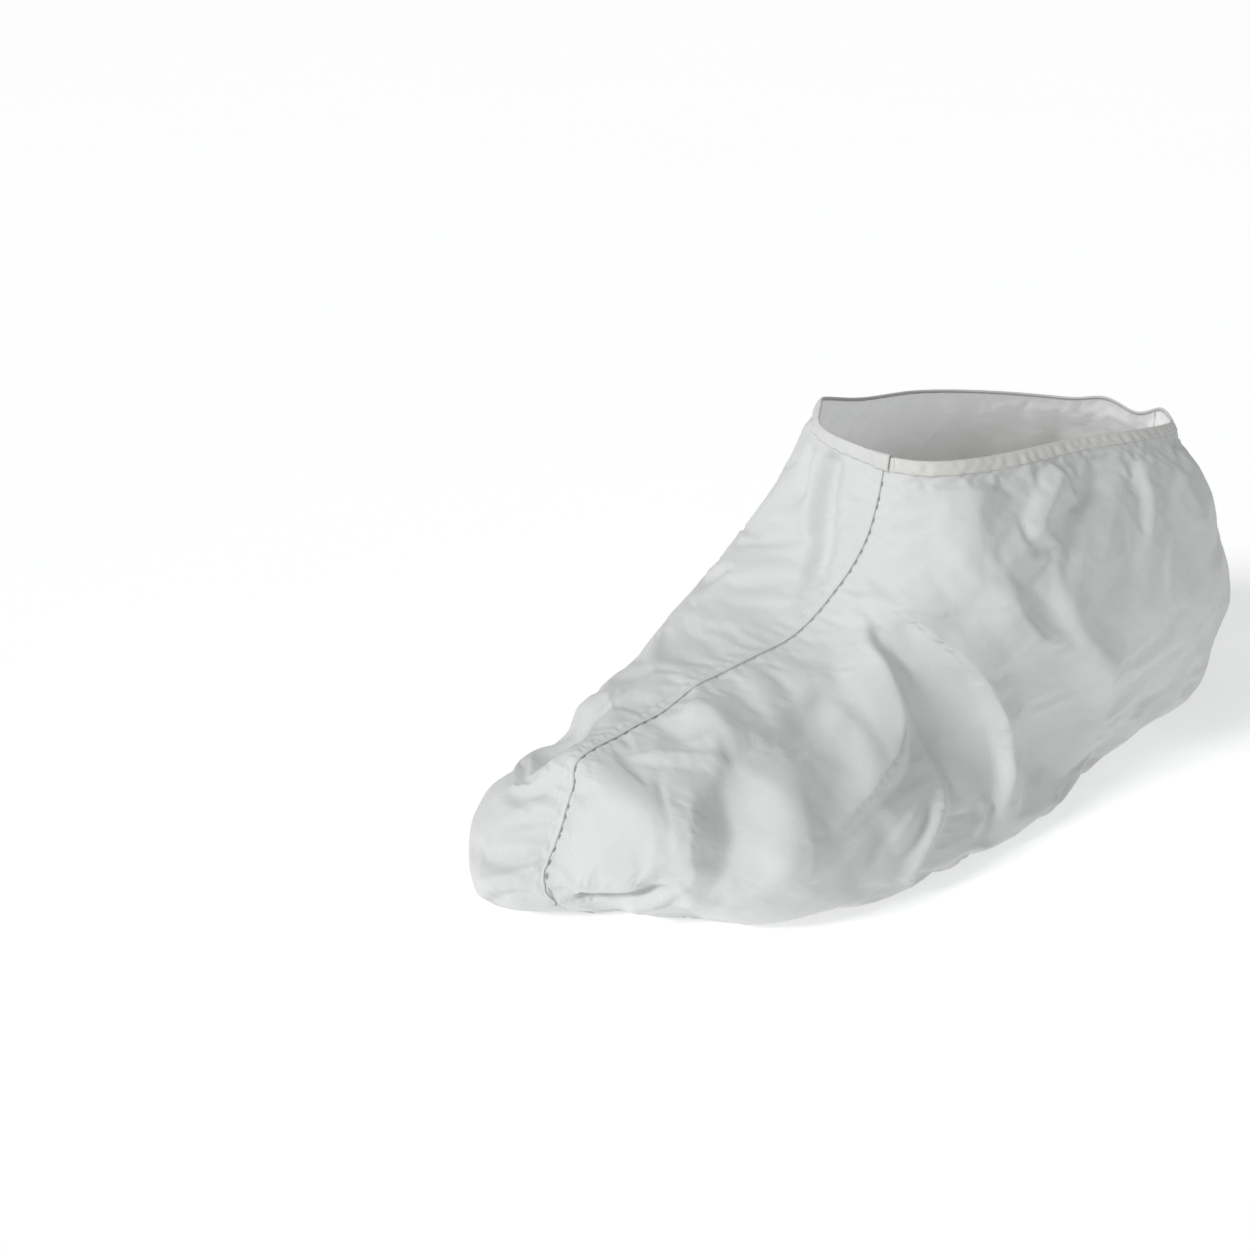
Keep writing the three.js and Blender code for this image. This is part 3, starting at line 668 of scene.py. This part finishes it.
# the whole outer face of the cover as one grid of points
def shapeCloth():
    rows, columns = cover["rows"], cover["columns"]
    u = np.linspace(0, 1, rows + 1)
    v = np.concatenate([evenRound(u, 0.0, columns), evenRound(u, math.pi, columns)[:, 1:]], 1)
    v[:, 0], v[:, -1] = 0, 0
    base = skin(u[:, None] + 0 * v, v)
    normals = normalsOf(base)
    lift = np.zeros(base.shape[:2])
    for fold in folds.values():
        lift += liftOf(base, normals, fold)
    ridged = 1 - 2 * np.abs(latticeNoise(base, crumple["creaseSize"], crumple["seed"]))
    lift += crumple["broad"] * latticeNoise(base, crumple["broadSize"], crumple["seed"] + 1)
    lift += crumple["crease"] * (ridged - crumple["creaseLevel"])
    lift += crumple["fine"] * latticeNoise(base, crumple["fineSize"], crumple["seed"] + 2)
    for fold in gatherFolds(base):
        lift += liftOf(base, normals, fold)
    fromMiddle = np.abs(np.arange(2 * columns + 1) - columns)
    lift -= cover["heelSeam"] * np.exp(-(fromMiddle / cover["heelSeamWide"]) ** 2)[None]
    lift -= crumple["ease"]
    rowNumber = np.arange(rows + 1)[:, None]
    fade = smooth((rowNumber - cover["stillRows"]) / cover["rimFade"])
    fade = fade * smooth((rows - rowNumber) / cover["toeFade"]) * smooth(base[..., 2] / cover["soleFade"])
    cloth = base + normals * (lift * fade)[..., None]
    cloth[..., 2] = np.maximum(cloth[..., 2], cover["floorGap"])
    # the last rows draw together under the toe
    tip = cloth[-1].mean(0)
    for k in range(cover["tipRows"]):
        pull = cover["tipTight"] + (1 - cover["tipTight"]) * (k / cover["tipRows"]) ** cover["tipCurve"]
        cloth[-1 - k] = tip + (cloth[-1 - k] - tip) * pull
    return cloth


def toFrame(points):
    return (np.asarray(points) + np.array(cover["origin"])) / 1000


# a grid primitive, and the row and column that each of its points stands for
def plainGrid(name, rows, columns):
    bpy.ops.object.select_all(action="DESELECT")
    bpy.ops.mesh.primitive_grid_add(x_subdivisions=rows, y_subdivisions=columns, size=1)
    piece = bpy.context.object
    piece.name = name
    flat = pointsOf(piece.data)
    i = np.rint((flat[:, 0] + 0.5) * rows).astype(int)
    j = np.rint((flat[:, 1] + 0.5) * columns).astype(int)
    return piece, i, j


def pointsOf(mesh):
    flat = np.zeros(len(mesh.vertices) * 3)
    mesh.vertices.foreach_get("co", flat)
    return flat.reshape(-1, 3)


# a sheet whose points are the given ones (rows x columns x 3, in mm)
def sheetFrom(name, grid):
    piece, i, j = plainGrid(name, grid.shape[0] - 1, grid.shape[1] - 1)
    mesh = piece.data
    mesh.vertices.foreach_set("co", toFrame(grid[i, j]).ravel())
    # the cloth's own flat measure, in metres, as its UV map
    across = runningSum(np.linalg.norm(np.diff(grid, axis=1), axis=-1))
    along = runningSum(np.linalg.norm(np.diff(grid, axis=0), axis=-1).mean(1))
    corner = np.zeros(len(mesh.loops), int)
    mesh.loops.foreach_get("vertex_index", corner)
    uv = np.stack([along[i], across[i, j]], 1)[corner] / 1000
    mesh.uv_layers[0].data.foreach_set("uv", uv.ravel())
    mesh.update()
    return piece


# the sheet gets its wall inwards; a second finish is for its inner face
def thicken(piece, thickness, finishes):
    for finish in finishes:
        piece.data.materials.append(finish)
    bpy.ops.object.select_all(action="DESELECT")
    piece.select_set(True)
    bpy.context.view_layer.objects.active = piece
    wall = piece.modifiers.new("wall", "SOLIDIFY")
    wall.thickness = thickness / 1000
    wall.offset = -1
    wall.material_offset = len(finishes) - 1
    bpy.ops.object.modifier_apply(modifier=wall.name)
    bpy.ops.object.shade_smooth()


def panel(name, grid, columnsFrom, columnsTo):
    part = grid[:, columnsFrom:columnsTo + 1].copy()
    # the two panels stop just short of each other
    for edge, inner in ((0, 1), (-1, -2)):
        toward = part[:, inner] - part[:, edge]
        length = np.maximum(np.linalg.norm(toward, axis=-1, keepdims=True), 1e-6)
        part[:, edge] += toward / length * np.minimum(cover["parting"], length * cover["partingMost"])
    piece = sheetFrom(name, part)
    thicken(piece, cover["cloth"], (clothFinish, insidePaintedLightFinish))
    return piece


# the cloth is held softly to its shaped form while it grows a little, so that it buckles as cloth does
drape = dict(every=2, frames=16, scale=10.0, loose=0.10, grow=0.022, mass=0.15, quality=5,
             tension=30.0, shear=18.0, bending=0.22, damping=5, bendingDamping=0.5, airDamping=3,
             seamHold=3, rimHold=7, toeHold=6, floorHold=0.6, floorBand=1.0)


# how firmly each point is held to its place, from 0 to 1
def heldShares(points, i, j):
    rows, columns = i.max(), j.max()
    share = np.full(len(i), drape["loose"])
    share = np.maximum(share, 1 - np.minimum(j, columns - j) / drape["seamHold"])
    share = np.maximum(share, 1 - i / drape["rimHold"])
    share = np.maximum(share, 1 - (rows - i) / drape["toeHold"])
    return np.where(points[:, 2] < drape["floorBand"], np.maximum(share, drape["floorHold"]), share)


def holdSoftly(piece, share):
    group = piece.vertex_groups.new(name="held")
    level = np.round(share, 2)
    for value in np.unique(level):
        group.add(np.where(level == value)[0].tolist(), float(value), "REPLACE")
    cloth = piece.modifiers.new("drape", "CLOTH")
    settings = cloth.settings
    settings.quality = drape["quality"]
    settings.mass = drape["mass"]
    settings.air_damping = drape["airDamping"]
    settings.tension_stiffness = settings.compression_stiffness = drape["tension"]
    settings.shear_stiffness = drape["shear"]
    settings.bending_stiffness = drape["bending"]
    settings.tension_damping = settings.compression_damping = settings.shear_damping = drape["damping"]
    settings.bending_damping = drape["bendingDamping"]
    settings.vertex_group_mass = group.name
    settings.pin_stiffness = 1
    settings.shrink_min = -drape["grow"]
    settings.effector_weights.gravity = 0
    cloth.collision_settings.use_collision = False
    cloth.collision_settings.use_self_collision = False
    cloth.point_cache.frame_start = 1
    cloth.point_cache.frame_end = drape["frames"]


# a table with smooth values between its rows, turned over so that a second call refines its columns
def refine(table, every):
    return smoothRows(table, np.arange((len(table) - 1) * every + 1) / every).transpose(1, 0, 2)


# the simulation runs on every second point of the cloth, enlarged, and only its shift is kept
def drapeCloth(grid):
    every = drape["every"]
    coarse = grid[::every, ::every]
    piece, i, j = plainGrid("draping", coarse.shape[0] - 1, coarse.shape[1] - 1)
    enlarged = drape["scale"] / 1000
    piece.data.vertices.foreach_set("co", (coarse[i, j] * enlarged).ravel())
    piece.data.update()
    holdSoftly(piece, heldShares(coarse[i, j], i, j))
    for number in range(1, drape["frames"] + 1):
        scene.frame_set(number)
        seen = piece.evaluated_get(bpy.context.evaluated_depsgraph_get())
    shift = np.zeros_like(coarse)
    shift[i, j] = pointsOf(seen.data) / enlarged - coarse[i, j]
    bpy.data.objects.remove(piece)
    scene.frame_set(1)
    print("draped, mean shift in mm:", round(float(np.linalg.norm(shift, axis=-1).mean()), 3))
    draped = grid + refine(refine(shift, every), every)
    draped[..., 2] = np.maximum(draped[..., 2], cover["floorGap"])
    return draped


clothGrid = shapeCloth()
print("cloth shaped")
clothGrid = drapeCloth(clothGrid)
columns = cover["columns"]
leftPanel = panel("leftPanel", clothGrid, 0, columns)
rightPanel = panel("rightPanel", clothGrid, columns, 2 * columns)
print("side panels shaped:", len(leftPanel.data.polygons), "faces each")


# a strip of folded seam cloth that lies over the join of the panels
seamStrip = dict(stations=420, across=16, thick=0.5, edgeRound=0.07, rest=0.04, startRow=3, endRow=8, seed=5,
                 nearRoll=0.3, nearRollAt=0.86, nearRollWide=0.1, ripple=0.7, rippleAt=0.3, rippleWide=0.26,
                 ripples=70, wobbles=50, wobble=0.35, looseFrom=3, looseOver=3, columns=30)
# along the seam: how far the folded strip reaches to the near and to the far side
seamRows = [
    dict(at=0.0, near=0.5, far=3.2),
    dict(at=0.2, near=0.5, far=3.4),
    dict(at=0.35, near=0.5, far=4.4),
    dict(at=0.5, near=0.5, far=5.8),
    dict(at=0.8, near=0.6, far=5.8),
    dict(at=0.9, near=0.5, far=4.2),
    dict(at=1.0, near=0.5, far=2.4),
]
seamStitches = dict(pitch=4.8, size=(2.2, 0.55, 0.5), outside=0.3, proud=0.1, startAt=0.03, endAt=0.95,
                    samples=300, wander=0.25, seed=8)


# point and normal a given distance round the ring from the instep seam, + to the left
def surfaceAt(grid, normals, row, aside):
    columns = grid.shape[1] - 1
    i0 = min(int(row), grid.shape[0] - 2)
    f = row - i0

    def fromRow(i):
        order = np.arange(seamStrip["columns"]) * (1 if aside >= 0 else -1) + (0 if aside >= 0 else columns)
        far = lengthAlong(grid[i, order])
        return valueAt(abs(aside), far, grid[i, order]), valueAt(abs(aside), far, normals[i, order])

    (p0, n0), (p1, n1) = fromRow(i0), fromRow(i0 + 1)
    return p0 + (p1 - p0) * f, unit(n0 + (n1 - n0) * f)


def seamValue(name, at):
    return np.interp(at, [row["at"] for row in seamRows], [row[name] for row in seamRows])


def buildSeamStrip(normals):
    stations, across = seamStrip["stations"], seamStrip["across"]
    rng = np.random.default_rng(seamStrip["seed"])
    share = np.linspace(0, 1, stations + 1)
    wave, wobble = (np.interp(share, np.linspace(0, 1, count), rng.uniform(-1, 1, count))
                    for count in (seamStrip["ripples"], seamStrip["wobbles"]))
    lastRow = len(clothGrid) - 1
    rows = np.linspace(seamStrip["startRow"], lastRow - seamStrip["endRow"], stations + 1)
    out = np.zeros((stations + 1, across + 1, 3))
    for k, row in enumerate(rows):
        near, far = seamValue("near", row / lastRow), seamValue("far", row / lastRow)
        loose = smooth((far - seamStrip["looseFrom"]) / seamStrip["looseOver"])
        for m in range(across + 1):
            t = m / across  # 0 at the far edge, 1 at the near edge
            stray = seamStrip["wobble"] * wobble[k] * loose * (1 - t)
            p, n = surfaceAt(clothGrid, normals, row, -far + (near + far) * t + stray)
            roll = math.exp(-((t - seamStrip["nearRollAt"]) / seamStrip["nearRollWide"]) ** 2)
            roll = seamStrip["nearRoll"] * roll
            lump = math.exp(-((t - seamStrip["rippleAt"]) / seamStrip["rippleWide"]) ** 2)
            lump = seamStrip["ripple"] * loose * (0.5 + 0.5 * wave[k]) * lump
            edge = smooth(t / seamStrip["edgeRound"]) * smooth((1 - t) / seamStrip["edgeRound"])
            out[k, m] = p + n * (seamStrip["rest"] + edge * (seamStrip["thick"] + roll + lump))
    piece = sheetFrom("seamStrip", out)
    thicken(piece, seamStrip["thick"], (clothFinish,))
    return piece


# one stitch is modelled and copied to each place, given as its centre, its direction and the cloth's normal
def sewStitches(name, places, size, finish):
    bpy.ops.object.select_all(action="DESELECT")
    bpy.ops.mesh.primitive_uv_sphere_add(segments=8, ring_count=6, radius=0.5)
    model = bpy.context.object
    model.name = name
    model.data.materials.append(finish)
    shape = pointsOf(model.data) * np.array(size)
    made = []
    for centre, along, up in places:
        stitch = model.copy()
        stitch.data = model.data.copy()
        scene.collection.objects.link(stitch)
        turn = np.stack([along, np.cross(up, along), up])
        stitch.data.vertices.foreach_set("co", toFrame(centre + shape @ turn).ravel())
        made.append(stitch)
    bpy.data.objects.remove(model)
    bpy.ops.object.select_all(action="DESELECT")
    for stitch in made:
        stitch.select_set(True)
    bpy.context.view_layer.objects.active = made[0]
    bpy.ops.object.join()
    made[0].name = name
    bpy.ops.object.shade_smooth()
    return made[0]


# evenly pitched places along a line of points with their normals
def stitchPlaces(points, normals, pitch, wander, seed):
    rng = np.random.default_rng(seed)
    far = lengthAlong(points)
    lookAhead = 0.5
    places = []
    for k in range(1, int(far[-1] / pitch)):
        at = (k + rng.uniform(-wander, wander)) * pitch
        centre = valueAt(at, far, points)
        along = unit(valueAt(at + lookAhead, far, points) - centre)
        up = valueAt(at, far, normals)
        places.append((centre, along, unit(up - along * (up @ along))))
    return places


def buildSeamStitches(normals):
    lastRow = len(clothGrid) - 1
    settings = seamStitches
    rows = np.linspace(settings["startAt"], settings["endAt"], settings["samples"]) * lastRow
    line = [surfaceAt(clothGrid, normals, row, seamValue("near", row / lastRow) + settings["outside"])
            for row in rows]
    points, ups = (np.array([entry[k] for entry in line]) for k in (0, 1))
    points = points + ups * settings["proud"]
    places = stitchPlaces(points, ups, settings["pitch"], settings["wander"], settings["seed"])
    return sewStitches("seamStitches", places, settings["size"], threadPaintedShadeFinish)


clothNormals = normalsOf(clothGrid)
strip = buildSeamStrip(clothNormals)
seamThreadPaintedShade = buildSeamStitches(clothNormals)
print("seam strip shaped and stitched")


binding = dict(outside=5.4, inside=1.0, thick=0.28, rest=0.04, stations=520, clothRows=14,
               lapStart=5.0, lapEnd=3.2, lapRiseAt=9, lapRiseOver=6, lapGap=0.35, bulge=0.05, bulgeTop=1.1,
               ripple=0.03, ripples=150, edgeWave=0.06, waves=110, rimFlat=0.9, rimAngles=(45, 90, 135),
               outsidePoints=7, insidePoints=5, seed=31)
bindingStitches = dict(pitch=2.7, size=(1.4, 0.26, 0.26), above=0.9, wander=0.1, seed=17)


# a folded tape over the rim, whose end laps over its start just left of the instep seam
def buildBinding(normals):
    columns = clothGrid.shape[1] - 1
    deep = binding["clothRows"]
    around = lengthAlong(clothGrid[0])
    total = around[-1]
    start, stop = binding["lapStart"], total + binding["lapEnd"]
    stations = binding["stations"]
    rng = np.random.default_rng(binding["seed"])
    places = np.linspace(start, stop, stations + 1)
    ripple, wave = (np.interp(places, np.linspace(start, stop, count), rng.uniform(-1, 1, count))
                    for count in (binding["ripples"], binding["waves"]))
    thick, rest = binding["thick"], binding["rest"]
    # the tape's section: outside from its lower edge up, over the rim, and down inside
    outside = np.linspace(1, 0, binding["outsidePoints"])
    inside = np.linspace(0, 1, binding["insidePoints"])
    section = len(outside) + len(binding["rimAngles"]) + len(inside)
    out = np.zeros((stations + 1, section, 3))
    outward = np.zeros((stations + 1, 3))
    for k, place in enumerate(places):
        at = place % total
        j = np.interp(at, around, np.arange(columns + 1))
        j0 = min(int(j), columns - 1)
        f = j - j0
        line = clothGrid[:deep, j0] * (1 - f) + clothGrid[:deep, j0 + 1] * f
        n = normals[:deep, j0] * (1 - f) + normals[:deep, j0 + 1] * f
        n = n / np.linalg.norm(n, axis=-1, keepdims=True)
        far = lengthAlong(line)
        rise = smooth((place - (total - binding["lapRiseAt"])) / binding["lapRiseOver"])
        down = unit(line[3] - line[0])
        stand = rest + thick + rise * (thick + binding["lapGap"])

        def below(depth):
            return valueAt(depth, far, line), unit(valueAt(depth, far, n))

        points = []
        for t in outside:
            p, m = below(t * (binding["outside"] + binding["edgeWave"] * wave[k]))
            bulge = binding["bulge"] * math.sin(math.pi * min(1, t * binding["bulgeTop"]))
            points.append(p + m * (stand + max(bulge + binding["ripple"] * ripple[k] * t, 0)))
        p, m = below(0)
        middle = p - m * cover["cloth"] / 2
        half = cover["cloth"] / 2 + stand
        for angle in binding["rimAngles"]:
            a = math.radians(angle)
            points.append(middle + m * half * math.cos(a) - down * (half * binding["rimFlat"] * math.sin(a)))
        for t in inside:
            p, m = below(t * binding["inside"])
            points.append(p - m * (cover["cloth"] + rest + thick))
        out[k], outward[k] = points, below(binding["outside"] / 2)[1]
    piece = sheetFrom("openingBinding", out)
    thicken(piece, thick, (bindingFinish,))
    settings = bindingStitches
    line = out[:, 0] + (out[:, len(outside) - 1] - out[:, 0]) * (settings["above"] / binding["outside"])
    places = stitchPlaces(line, outward, settings["pitch"], settings["wander"], settings["seed"])
    return piece, sewStitches("bindingStitches", places, settings["size"], bindingFinish)


bindingPiece, bindingThread = buildBinding(clothNormals)
print("binding shaped and stitched")


for piece, node in ((leftPanel, "left_side"), (rightPanel, "right_side"),
                    (strip, "centre_seam"), (bindingPiece, "opening_band")):
    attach(piece, "root")
    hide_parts(node)
for piece in (seamThreadPaintedShade, bindingThread):
    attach(piece, "root")

print("pieces placed on the body")
